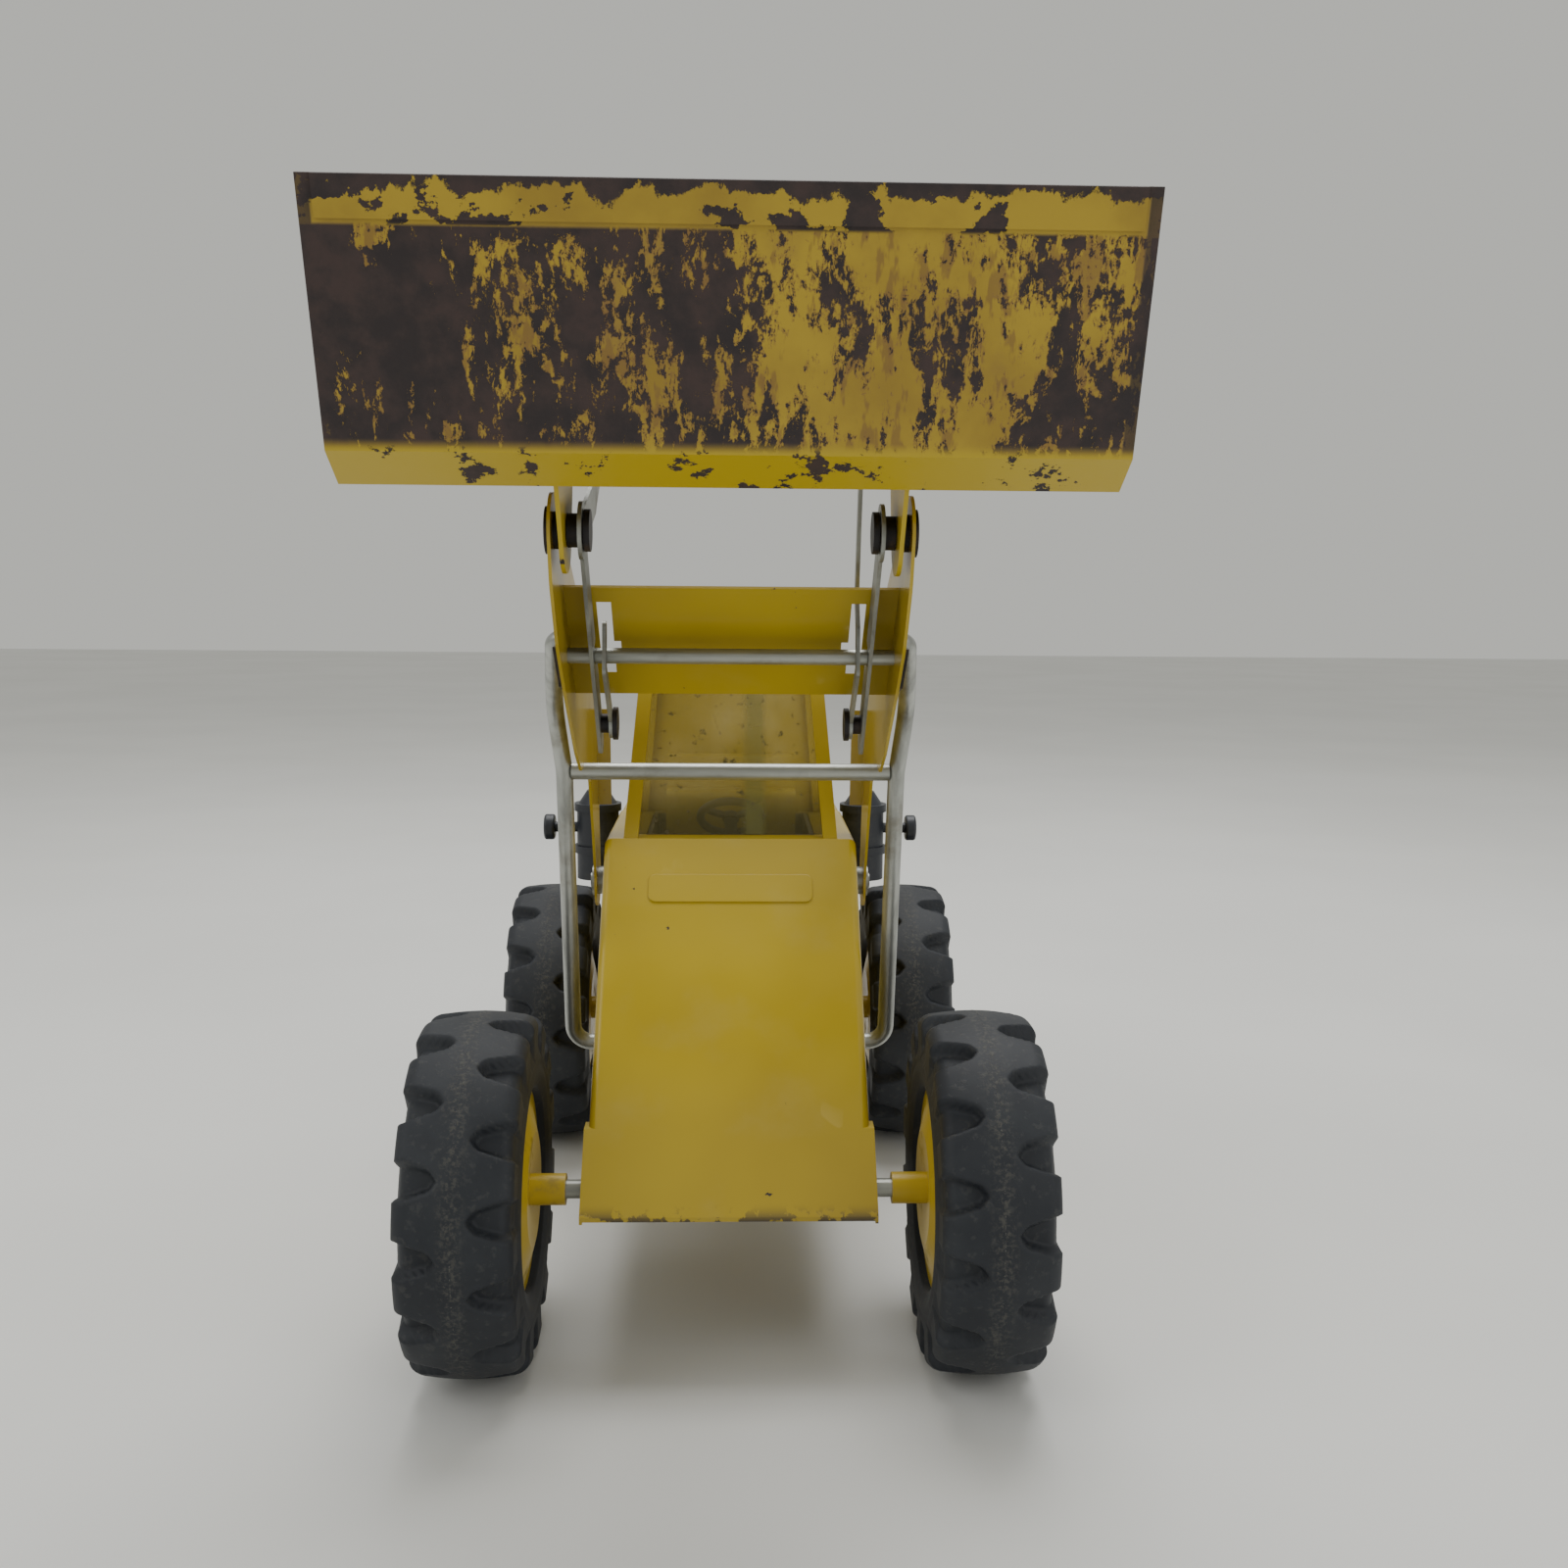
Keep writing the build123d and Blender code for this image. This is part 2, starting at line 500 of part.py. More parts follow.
# --- bucket: floor, heel, back wall, end plates, hems and hinge ears ---------------
floor_way = (-0.330, 0.944)
back_way = (0.944, 0.330)
low_edge = (hinge_y - 25.3, hinge_z + 11.0)
heel = (low_edge[0] - 13.7, low_edge[1] + 7.8)
lip = (heel[0] + bucket_floor * floor_way[0], heel[1] + bucket_floor * floor_way[1])
crest = (low_edge[0] + bucket_back * back_way[0], low_edge[1] + bucket_back * back_way[1])
inner_heel = (heel[0] + sheet * 1.10, heel[1] + sheet * 0.28)
inner_low = (low_edge[0] + sheet * 0.03, low_edge[1] + sheet * 1.12)
inner_lip = (lip[0] + sheet * 0.944, lip[1] + sheet * 0.33)
inner_crest = (crest[0] - sheet * 0.33, crest[1] + sheet * 0.944)
tray_face = make_face(Polyline(
    lip, heel, low_edge, crest, inner_crest, inner_low, inner_heel, inner_lip, close=True))
tray = across(tray_face, -bucket_half_width, bucket_half_width)
hem_start = (lip[0] - sheet * 0.944, lip[1] - sheet * 0.33)
hem_end = (hem_start[0] - hem_width * floor_way[0], hem_start[1] - hem_width * floor_way[1])
hem_face = make_face(Polyline(
    lip, hem_start, hem_end, (lip[0] - hem_width * floor_way[0], lip[1] - hem_width * floor_way[1]), close=True))
tray += across(hem_face, -bucket_half_width + 4, bucket_half_width - 4)
crest_out = (crest[0] + sheet * 0.33, crest[1] - sheet * 0.944)
crest_hem = make_face(Polyline(
    crest, crest_out, (crest_out[0] - 8 * back_way[0], crest_out[1] - 8 * back_way[1]),
    (crest[0] - 8 * back_way[0], crest[1] - 8 * back_way[1]), close=True))
tray += across(crest_hem, -bucket_half_width + 1, bucket_half_width - 1)
end_face = make_face(Polyline(
    lip, heel, low_edge, crest, (crest[0] - 6, crest[1] + 12), (lip[0] + 26, lip[1] - 6), close=True))
end_plate = across(end_face, bucket_half_width - sheet, bucket_half_width)
tray += end_plate
tray += other_side(end_plate)
ear_outer = arm_inner - 2.5
ear_inner = ear_outer - sheet - 0.3
ear_face = make_face(Polyline(
    (low_edge[0] + 2 * back_way[0], low_edge[1] + 2 * back_way[1]),
    (crest[0] - 10 * back_way[0], crest[1] - 10 * back_way[1]),
    (hinge_y + 12, hinge_z - 4), (hinge_y - 12, hinge_z - 4), close=True))
ear_face += disc(hinge_y, hinge_z, 12.6)
ear_face -= disc(hinge_y, hinge_z, hinge_pin_radius + running_gap)
ear = across(ear_face, ear_inner, ear_outer)
tray += ear
tray += other_side(ear)
keep("bucket", tray)

# --- hinge pins with rivet heads, washers between the plates -----------------------
pins = []
washers = []
for side in (-1, 1):
    shaft_in = lever_x - 0.3 - 1.8
    shaft = pin(hinge_y, hinge_z, hinge_pin_radius, shaft_in, arm_outer + 1.4)
    shaft += pin(hinge_y, hinge_z, 7, arm_outer, arm_outer + 1.4)
    shaft += pin(hinge_y, hinge_z, 6.2, shaft_in, shaft_in + 1.8)
    washer = pin(hinge_y, hinge_z, 5.5, ear_outer + 0.15, arm_inner)
    washer_inner = pin(hinge_y, hinge_z, 5.0, lever_x + lever_sheet + 0.2, ear_inner - 0.2)
    ring_cut = pin(hinge_y, hinge_z, hinge_pin_radius, -200, 200)
    pins.append(shaft if side > 0 else other_side(shaft))
    washers.append(washer - ring_cut if side > 0 else other_side(washer - ring_cut))
    washers.append(washer_inner - ring_cut if side > 0 else other_side(washer_inner - ring_cut))
keep("bucket_hinge_pins", Compound(children=pins))
keep("hinge_washers", Compound(children=washers))

# --- latch: two levers on the hinge pins, tie strips and rivets ---------------------
lever_half = 5.0
lever_end = (hinge_y + 62, hinge_z - 67)
lever_face = bar(hinge_y, hinge_z, lever_end[0], lever_end[1], lever_half)
lever_face += disc(hinge_y, hinge_z, 8.5)
lever_face -= disc(hinge_y, hinge_z, hinge_pin_radius + running_gap)
rod_way = math.atan2(rod_z - hinge_z, rod_y - hinge_y)
seat_half = tie_rod_radius + 0.4
seat_out = (rod_y + 7 * math.cos(rod_way + math.pi / 2), rod_z + 7 * math.sin(rod_way + math.pi / 2))
lever_face -= bar(rod_y, rod_z, seat_out[0], seat_out[1], seat_half)
tab_face = bar(hinge_y, hinge_z, hinge_y + 40, hinge_z + 12, 5.5)
tab_face += bar(hinge_y + 40, hinge_z + 12, hinge_y + 70, hinge_z + 30, 5)
tab_face -= disc(hinge_y, hinge_z, hinge_pin_radius + running_gap)
left_lever = across(lever_face, -lever_x - lever_sheet, -lever_x)
left_lever += across(tab_face, -lever_x - lever_sheet, -lever_x)
left_lever += Pos(-lever_x - lever_sheet / 2 + 5, hinge_y + 70, hinge_z + 34.5) * Box(12, 8, lever_sheet)
keep("latch_lever_left", left_lever)
keep("latch_lever_right", across(lever_face, lever_x, lever_x + lever_sheet))
rivet_y = lever_end[0] - 4
rivet_z = lever_end[1] + 5.5
tie_half = 2.2
tie_route = [
    (rivet_y, rivet_z), (rod_y - 5.4, rod_z - 4.2), (rod_y - 4.4, rod_z + 9), (rod_y + 2, rod_z + 20),
    (rod_y - 7.5, rod_z + 56)]
tie_low_x = tie_x - lever_sheet / 2


def tie_face(route):
    """A bent strip in side view along a route that starts at the rivet."""
    face = disc(rivet_y, rivet_z, 5)
    for start, stop in zip(route, route[1:]):
        face += bar(start[0], start[1], stop[0], stop[1], tie_half)
    return face - disc(rivet_y, rivet_z, 2)


keep("latch_tie_left", across(tie_face(tie_route[:3]), -tie_low_x - lever_sheet, -tie_low_x))
keep("latch_tie_right", across(tie_face(tie_route), tie_low_x, tie_low_x + lever_sheet))
rivets = []
for side in (-1, 1):
    rivet = pin(rivet_y, rivet_z, 2, tie_low_x - 1.4, lever_x)
    rivet += pin(rivet_y, rivet_z, 5.5, tie_low_x - 1.6, tie_low_x)
    rivet += pin(rivet_y, rivet_z, 3.2, tie_low_x + lever_sheet, lever_x)
    rivets.append(rivet if side > 0 else other_side(rivet))
keep("latch_rivets", Compound(children=rivets))

# --- export, with the origin moved under the middle of the toy ---------------------
box = Compound(children=[piece.moved(Location((0, 0, 0))) for piece in pieces.values()]).bounding_box()
middle_y = (box.min.Y + box.max.Y) / 2
os.makedirs("parts", exist_ok=True)
for name, piece in pieces.items():
    export_step(piece.moved(Location((0, -middle_y, -box.min.Z))), "parts/" + name + ".step")
print("pieces", len(pieces))
print("box", box.min, box.max, "middle_y", middle_y, "base", box.min.Z)
print("slot radius", slot_radius, "tyre inner", tyre_inner, "tie x", tie_x, "lever x", lever_x)
for name, spot in (("arm pivot", (pivot_y, pivot_z)), ("bucket hinge", (hinge_y, hinge_z)),
                   ("front axle", (0, axle_z)), ("rear axle", (wheelbase, axle_z)), ("steering", (wheel_y, wheel_z))):
    print(name, "y", round((spot[0] - middle_y) / 1000, 6), "z", round((spot[1] - box.min.Z) / 1000, 6))
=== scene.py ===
import math
import bmesh
import bpy
from mathutils import Matrix, Vector


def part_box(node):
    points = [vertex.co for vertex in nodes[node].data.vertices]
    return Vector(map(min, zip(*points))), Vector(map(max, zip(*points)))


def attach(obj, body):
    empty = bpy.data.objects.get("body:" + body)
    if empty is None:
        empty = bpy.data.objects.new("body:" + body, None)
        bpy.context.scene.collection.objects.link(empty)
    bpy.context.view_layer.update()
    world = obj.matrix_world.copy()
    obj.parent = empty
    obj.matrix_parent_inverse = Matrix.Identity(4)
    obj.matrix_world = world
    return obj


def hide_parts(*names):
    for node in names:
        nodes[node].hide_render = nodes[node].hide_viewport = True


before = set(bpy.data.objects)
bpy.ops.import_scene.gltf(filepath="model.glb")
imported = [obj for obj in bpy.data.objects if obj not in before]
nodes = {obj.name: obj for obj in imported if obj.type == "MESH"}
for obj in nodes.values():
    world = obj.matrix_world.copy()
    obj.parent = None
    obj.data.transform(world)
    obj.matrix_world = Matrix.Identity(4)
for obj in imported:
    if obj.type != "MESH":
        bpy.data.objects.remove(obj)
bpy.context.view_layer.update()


# ---------------------------------------------------------------------------
# Yellow enamel pressings: body, hood, cab, seat and lift arms. Pressed steel
# sheet sprayed with a thick gloss enamel, faintly wavy, scuffed, dusty in
# patches and chipped to dark metal along the lower edges.
class Value:
    """A shader socket that does sums."""

    def __init__(self, ink, socket):
        self.ink = ink
        self.socket = socket

    def sum(self, operation, *others, clamp=False):
        sockets = [self.socket] + [o.socket if isinstance(o, Value) else o for o in others]
        return self.ink.node("ShaderNodeMath", {"operation": operation, "use_clamp": clamp}, sockets)

    def __add__(self, other):
        return self.sum("ADD", other)

    def __sub__(self, other):
        return self.sum("SUBTRACT", other)

    def __rsub__(self, other):
        return (self * -1) + other

    def __mul__(self, other):
        return self.sum("MULTIPLY", other)

    __radd__ = __add__
    __rmul__ = __mul__

    def size(self):
        """The value without its sign."""
        return self.sum("ABSOLUTE")

    def band(self, low, high):
        """0 below low, 1 above high, smooth between."""
        return self.ink.node("ShaderNodeMapRange", {"interpolation_type": "SMOOTHSTEP"},
                             {0: self.socket, 1: low, 2: high, 3: 0.0, 4: 1.0})

    def most(self, other):
        return self.sum("MAXIMUM", other)

    def least(self, other):
        return self.sum("MINIMUM", other)


class Ink:
    """One material under construction."""

    def __init__(self, name):
        self.material = bpy.data.materials.new(name)
        self.material.use_nodes = True
        self.tree = self.material.node_tree
        self.tree.nodes.clear()
        self.output = self.tree.nodes.new("ShaderNodeOutputMaterial")
        self.surface = self.tree.nodes.new("ShaderNodeBsdfPrincipled")
        self.tree.links.new(self.surface.outputs[0], self.output.inputs[0])
        self.place = self.tree.nodes.new("ShaderNodeTexCoord").outputs["Object"]
        split = self.tree.nodes.new("ShaderNodeSeparateXYZ")
        self.tree.links.new(self.place, split.inputs[0])
        self.x, self.y, self.z = (Value(self, split.outputs[i]) for i in range(3))

    def node(self, kind, settings, sockets, out=0):
        made = self.tree.nodes.new(kind)
        for key, value in settings.items():
            setattr(made, key, value)
        pairs = sockets.items() if isinstance(sockets, dict) else enumerate(sockets)
        for key, value in pairs:
            value = value.socket if isinstance(value, Value) else value
            if isinstance(value, bpy.types.NodeSocket):
                self.tree.links.new(value, made.inputs[key])
            else:
                made.inputs[key].default_value = value
        return Value(self, made.outputs[out])

    def stretched(self, stretch):
        """Object coordinates multiplied along each axis."""
        return self.node("ShaderNodeVectorMath", {"operation": "MULTIPLY"}, [self.place, stretch])

    def noise(self, scale, detail=4.0, rough=0.55, stretch=(1, 1, 1), distortion=0.0):
        return self.node("ShaderNodeTexNoise", {}, {
            "Vector": self.stretched(stretch), "Scale": scale, "Detail": detail,
            "Roughness": rough, "Distortion": distortion})

    def mix(self, factor, first, second):
        made = self.tree.nodes.new("ShaderNodeMix")
        made.data_type = "RGBA"
        for index, value in ((0, factor), (6, first), (7, second)):
            value = value.socket if isinstance(value, Value) else value
            if isinstance(value, bpy.types.NodeSocket):
                self.tree.links.new(value, made.inputs[index])
            else:
                made.inputs[index].default_value = value if index == 0 else (*value, 1.0)
        return Value(self, made.outputs[2])

    def finish(self, colour, roughness, metallic=0.0, height=None, depth=0.0002, alpha=None, **plain):
        feeds = {"Base Color": colour, "Roughness": roughness, "Metallic": metallic}
        if alpha is not None:
            feeds["Alpha"] = alpha
        if height is not None:
            feeds["Normal"] = self.node(
                "ShaderNodeBump", {}, {"Height": height, "Distance": depth, "Strength": 1.0})
        for key, value in feeds.items():
            if isinstance(value, Value):
                self.tree.links.new(value.socket, self.surface.inputs[key])
            elif key == "Base Color":
                self.surface.inputs[key].default_value = (*value, 1.0)
            else:
                self.surface.inputs[key].default_value = value
        for key, value in plain.items():
            self.surface.inputs[key.replace("_", " ")].default_value = value
        return self.material


def paint(material, *names):
    """Give CAD nodes one material."""
    for name in names:
        mesh = nodes[name].data
        mesh.materials.clear()
        mesh.materials.append(material)


YELLOW = (0.47, 0.335, 0.007)
YELLOW_DEEP = (0.38, 0.262, 0.005)
DARK_METAL = (0.035, 0.024, 0.020)


def enamel(name, chip_level, sill):
    """Gloss enamel; chip_level sets how often it is chipped, sill where the lower edge is."""
    ink = Ink(name)
    tone = ink.noise(9, 3).band(0.3, 0.7)
    colour = ink.mix(tone, YELLOW, YELLOW_DEEP)
    dust = ink.noise(38, 5).band(0.52, 0.75) * 0.08
    colour = ink.mix(dust, colour, (0.50, 0.44, 0.26))
    scratch = ink.noise(60, 2, 0.5, (1, 1, 0.08)).band(0.70, 0.73) * ink.noise(14).band(0.55, 0.65)
    colour = ink.mix(scratch * 0.22, colour, (0.62, 0.48, 0.14))
    near_sill = 1 - ink.z.band(sill, sill + 0.006)
    patches = ink.noise(170, 5, 0.6).band(chip_level, chip_level + 0.012)
    sill_chips = ink.noise(120, 6, 0.65).band(0.50, 0.53) * near_sill
    chips = patches.most(sill_chips)
    colour = ink.mix(chips, colour, DARK_METAL)
    wave = ink.noise(34, 2) * 0.5 + ink.noise(900, 1) * 0.02 - chips * 0.35
    rough = 0.27 + ink.noise(55, 4) * 0.14 + chips * 0.4
    return ink.finish(colour, rough, 0.0, wave, 0.0004, Coat_Weight=0.35, Coat_Roughness=0.16)


body_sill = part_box("body_shell")[0][2]
paint(enamel("body enamel", 0.735, body_sill), "body_shell", "base_plate")
paint(enamel("hood enamel", 0.75, 0.0), "engine_hood", "cab_canopy", "bench_seat")
paint(enamel("arm enamel", 0.715, 0.0), "lift_arm_frame")


# ---------------------------------------------------------------------------
# Bucket: folded steel tray with end plates and ears. Its underside has been
# dragged over ground for years, so the enamel is worn to dark rust in tall
# streaks and blots; the heel fold and the hem keep most of their yellow.
ink = Ink("worn bucket enamel")
FLOOR_HEIGHT = 0.0655
HEM_WIDTH = 0.0110
END_RIM = 0.1045
bucket_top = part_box("bucket")[1][2]
heel_z = bucket_top - FLOOR_HEIGHT
hem_z = bucket_top - HEM_WIDTH
blots = ink.noise(32, 10, 0.74, (1.2, 1, 0.75), 0.45)
streaks = ink.noise(125, 8, 0.70, (1.5, 1, 0.26), 0.4)
specks = ink.noise(380, 6, 0.74, (1, 1, 0.55), 0.5)
side_drift = (ink.x * 0.55).most(-0.05).least(0.020)
wear = blots * 0.45 + streaks * 0.33 + specks * 0.25 - side_drift
floor_wear = wear.band(0.507, 0.512)
on_floor = ink.z.band(heel_z, heel_z + 0.0035) * (1 - ink.z.band(hem_z - 0.001, hem_z))
ragged = ink.noise(75, 8, 0.68, (1.2, 1, 0.8)) * 0.020 - 0.0105
rim = (ink.z + ragged).band(bucket_top - 0.0045, bucket_top - 0.0038)
above_hem_line = ink.z.band(hem_z - 0.001, hem_z)
hem_bite = ink.noise(42, 7, 0.62, (1.2, 1, 1.3)).band(0.575, 0.583) * above_hem_line
below = 1 - ink.z.band(heel_z, heel_z + 0.0035)
heel_bite = (ink.noise(60, 8, 0.68) + ink.z.band(heel_z - 0.012, heel_z) * 0.07)
heel_bite = heel_bite.band(0.64, 0.648) * below
ends = ink.x.size().band(END_RIM, END_RIM + 0.0007) * ink.z.band(heel_z, heel_z + 0.003)
rust = (floor_wear * on_floor).most(rim).most(hem_bite).most(heel_bite).most(ends * 0.85)
yellow = ink.mix(ink.noise(30, 5).band(0.35, 0.7), (0.42, 0.285, 0.012), (0.29, 0.185, 0.012))
scrape = ink.noise(210, 3, 0.6, (1.0, 1, 0.05)).band(0.54, 0.62) * on_floor
yellow = ink.mix(scrape * 0.6, yellow, (0.17, 0.085, 0.020))
stain = ink.noise(24, 5, 0.6).band(0.50, 0.68) * on_floor
yellow = ink.mix(stain * 0.55, yellow, (0.19, 0.105, 0.030))
clean = ink.mix(below, yellow, YELLOW)
rust_tone = ink.mix(ink.noise(90, 6, 0.6).band(0.35, 0.65), (0.020, 0.013, 0.014), (0.046, 0.026, 0.023))
halo = wear.band(0.482, 0.5) * on_floor * (1 - rust)
clean = ink.mix(halo * 0.55, clean, (0.20, 0.10, 0.03))
colour = ink.mix(rust, clean, rust_tone)
grain = ink.noise(420, 5, 0.6)
height = (1 - rust) * 0.6 + grain * 0.35 * rust + ink.noise(24, 3) * 0.8
paint(ink.finish(colour, 0.36 + rust * 0.28 + grain * 0.08, 0.0, height, 0.00035, Coat_Weight=0.05), "bucket")


# ---------------------------------------------------------------------------
# Zinc-plated rods and levers: bail, crossbar, tie rod, axles, latch strips.
# Drawn steel with a dull plate that has gone streaky and grey.
def zinc(name, along, tint, rough):
    """Dull zinc plate with streaks that run along the given stretch."""
    ink = Ink(name)
    streak_and_pane_shade = ink.noise(120, 5, 0.6, along)
    stain = ink.noise(45, 5, 0.6).band(0.55, 0.72)
    colour = ink.mix(streak_and_pane_shade.band(0.35, 0.7), tint, tuple(0.55 * part for part in tint))
    colour = ink.mix(stain * 0.55, colour, (0.16, 0.14, 0.10))
    return ink.finish(colour, rough + streak_and_pane_shade * 0.22, 0.85, ink.noise(500, 3), 0.00006)


rod_zinc = zinc("rod zinc", (1, 1, 0.1), (0.44, 0.45, 0.42), 0.26)
cross_zinc = zinc("crossbar zinc", (0.1, 1, 1), (0.42, 0.43, 0.39), 0.28)
lever_zinc = zinc("lever zinc", (1, 0.3, 0.3), (0.38, 0.39, 0.36), 0.36)
paint(rod_zinc, "bail_left", "bail_right")
paint(cross_zinc, "bail_crossbar", "tie_rod", "front_axle", "rear_axle", "axle_nuts",
      "arm_pivot_pin", "arm_pivot_caps", "arm_pivot_spacers", "base_screws")
paint(lever_zinc, "latch_lever_left", "latch_lever_right", "latch_tie_left", "latch_tie_right")


# ---------------------------------------------------------------------------
# Blackened steel: rivet heads, washers and the keeper plates. Satin black
# with brown bloom.
ink = Ink("blackened steel")
bloom = ink.noise(140, 6, 0.6)
colour = ink.mix(bloom.band(0.45, 0.7), (0.022, 0.020, 0.021), (0.075, 0.052, 0.040))
paint(ink.finish(colour, 0.38 + bloom * 0.25, 0.6, bloom, 0.00012),
      "bucket_hinge_pins", "hinge_washers", "latch_rivets", "keeper_plate_left", "keeper_plate_right")


# ---------------------------------------------------------------------------
# Black moulded plastic: air cleaners, caps, knobs, grille, cab tub and
# steering wheel. Slightly blue black, satin, with dust in patches.
ink = Ink("black moulded plastic")
dust = ink.noise(70, 6, 0.62).band(0.50, 0.75)
colour = ink.mix(dust * 0.5, (0.016, 0.019, 0.026), (0.085, 0.085, 0.075))
paint(ink.finish(colour, 0.42 + dust * 0.25, 0.0, ink.noise(700, 2), 0.00005),
      "air_cleaner_left", "air_cleaner_right", "air_cleaner_cap_left", "air_cleaner_cap_right",
      "air_cleaner_knob_left", "air_cleaner_knob_right", "rear_grille", "steering_column", "steering_wheel")
ink = Ink("dusty cab floor")
dust = ink.noise(90, 6, 0.62).band(0.42, 0.7)
colour = ink.mix(dust, (0.10, 0.085, 0.03), (0.26, 0.22, 0.10))
paint(ink.finish(colour, 0.6 + dust * 0.2, 0.0, dust, 0.0001), "cab_floor")


# ---------------------------------------------------------------------------
# Wheels: yellow moulded hubs inside blow-moulded rubber tyres with staggered
# lugs. The rubber is blue black and dusty; a mould seam runs round the tread.
ink = Ink("hub plastic")
dirt = ink.noise(80, 6, 0.6).band(0.55, 0.72)
colour = ink.mix(dirt * 0.6, (0.47, 0.325, 0.010), (0.17, 0.13, 0.045))
paint(ink.finish(colour, 0.34 + dirt * 0.3, 0.0, ink.noise(300, 3), 0.00008),
      *["hub_%s_%s" % (end, side) for end in ("front", "rear") for side in ("left", "right")])
ink = Ink("dusty tyre rubber")
film = ink.noise(26, 6, 0.6)
tyre_middle = abs(sum(corner[0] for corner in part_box("tyre_front_left"))) / 2
speck = ink.noise(330, 4, 0.62).band(0.55, 0.68)
colour = ink.mix(film.band(0.35, 0.75), (0.010, 0.0125, 0.018), (0.027, 0.031, 0.037))
colour = ink.mix(speck * 0.22, colour, (0.085, 0.085, 0.078))
off_seam = (ink.x.size() - tyre_middle).size()
chalked = (1 - off_seam.band(0.0004, 0.0060)) * ink.noise(620, 5, 0.7).band(0.46, 0.66)
colour = ink.mix(chalked * 0.50, colour, (0.105, 0.100, 0.082))
grain = ink.noise(260, 4) * 0.4 + speck * 0.2 + chalked * 0.3
tyre_rubber = ink.finish(colour, 0.50 + film * 0.22, 0.0, grain, 0.00018, Specular_IOR_Level=0.45)
tyre_names = ["tyre_%s_%s" % (end, side) for end in ("front", "rear") for side in ("left", "right")]
low, high = (Vector(corner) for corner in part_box(tyre_names[0]))
TYRE_RADIUS = (high.z - low.z) / 2
TYRE_HALF = (high.x - low.x) / 2
BEAD_RADIUS = (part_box("hub_front_left")[1][2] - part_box("hub_front_left")[0][2]) / 2
LUGS = 15
STEPS = 30
SHOULDER = 0.0055
SHOULDER_IN = 0.0059
SHOULDER_UP = 0.0045
CROWN = 0.001
GROOVE_DEPTH = 0.0044
SEAM_BEAD = 0.00035
SEAM_BEADS = 900


def ease(value, low_end, high_end):
    """Smooth step in plain numbers."""
    part = min(1.0, max(0.0, (value - low_end) / (high_end - low_end)))
    return part * part * (3 - 2 * part)


def tyre_section():
    """Half-round tyre outline from one bead over the tread to the other: (x, radius) pairs."""
    points = []
    wall = TYRE_RADIUS - SHOULDER
    for i in range(14):
        radius = BEAD_RADIUS + (wall - BEAD_RADIUS) * i / 14
        ridge = 0.0005 * sum(math.exp(-((radius - BEAD_RADIUS - at) / 0.0007) ** 2) for at in (0.0055, 0.0105))
        tuck = 0.0012 * (1 - ease(radius, BEAD_RADIUS, BEAD_RADIUS + 0.004)) + 0.0004
        points.append((-TYRE_HALF + tuck - ridge + 0.0001, radius))
    for i in range(10):
        turn = math.radians(180 - 9 * i)
        points.append((-TYRE_HALF + SHOULDER_IN + SHOULDER * math.cos(turn), wall + SHOULDER_UP * math.sin(turn)))
    for i in range(1, 19):
        across = i / 18
        rise = CROWN * (1 - (1 - across) ** 2)
        points.append(((-TYRE_HALF + SHOULDER_IN) * (1 - across), wall + SHOULDER_UP + rise))
    return points + [(-x, radius) for x, radius in reversed(points[:-1])]


def tread_mesh(name, turned):
    """Revolve the section and press wedge grooves in from each shoulder, staggered side to side."""
    section = tyre_section()
    count = LUGS * STEPS
    points = []
    for step in range(count):
        angle = math.tau * step / count + turned
        for x, radius in section:
            shift = 0.5 if x > 0 else 0.0
            phase = (step / STEPS + shift) % 1.0 - 0.5
            outward = abs(x) / TYRE_HALF
            width = 0.10 + 0.13 * ease(outward, 0.20, 0.95)
            groove = 1 - ease(abs(phase), width - 0.03, width + 0.03)
            groove *= ease(outward, 0.22 + 0.9 * abs(phase), 0.31 + 0.9 * abs(phase))
            groove *= ease(radius, TYRE_RADIUS - 0.017, TYRE_RADIUS - 0.009)
            deep = radius - GROOVE_DEPTH * groove * ease(radius, TYRE_RADIUS - 0.012, TYRE_RADIUS - 0.004)
            inset = x * (1 - 0.075 * groove * ease(outward, 0.6, 1.0))
            points.append((inset, deep * math.cos(angle), deep * math.sin(angle)))
    size = len(section)
    faces = []
    for step in range(count):
        for i in range(size):
            after = (i + 1) % size
            ring, following = step * size, ((step + 1) % count) * size
            faces.append((ring + i, ring + after, following + after, following + i))
    mesh = bpy.data.meshes.new(name)
    mesh.from_pydata(points, [], faces)
    shape = bmesh.new()
    shape.from_mesh(mesh)
    bmesh.ops.recalc_face_normals(shape, faces=shape.faces)
    shape.to_mesh(mesh)
    shape.free()
    mesh.shade_smooth()
    mesh.materials.append(tyre_rubber)
    return mesh


for index, tyre_name in enumerate(tyre_names):
    low, high = (Vector(corner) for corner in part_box(tyre_name))
    mesh = tread_mesh(tyre_name + " rubber", 0.09 * index)
    mesh.transform(Matrix.Translation((low + high) / 2))
    tyre = bpy.data.objects.new(tyre_name + "_rubber", mesh)
    bpy.context.scene.collection.objects.link(tyre)
    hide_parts(tyre_name)
    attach(tyre, tyre_name.replace("tyre", "wheel"))

ink = Ink("seam dust")
chalk = ink.noise(210, 5, 0.62)
seam_rubber = ink.finish(
    ink.mix(chalk.band(0.4, 0.65), (0.030, 0.032, 0.034), (0.12, 0.118, 0.105)), 0.75, 0.0, chalk, 0.0002)


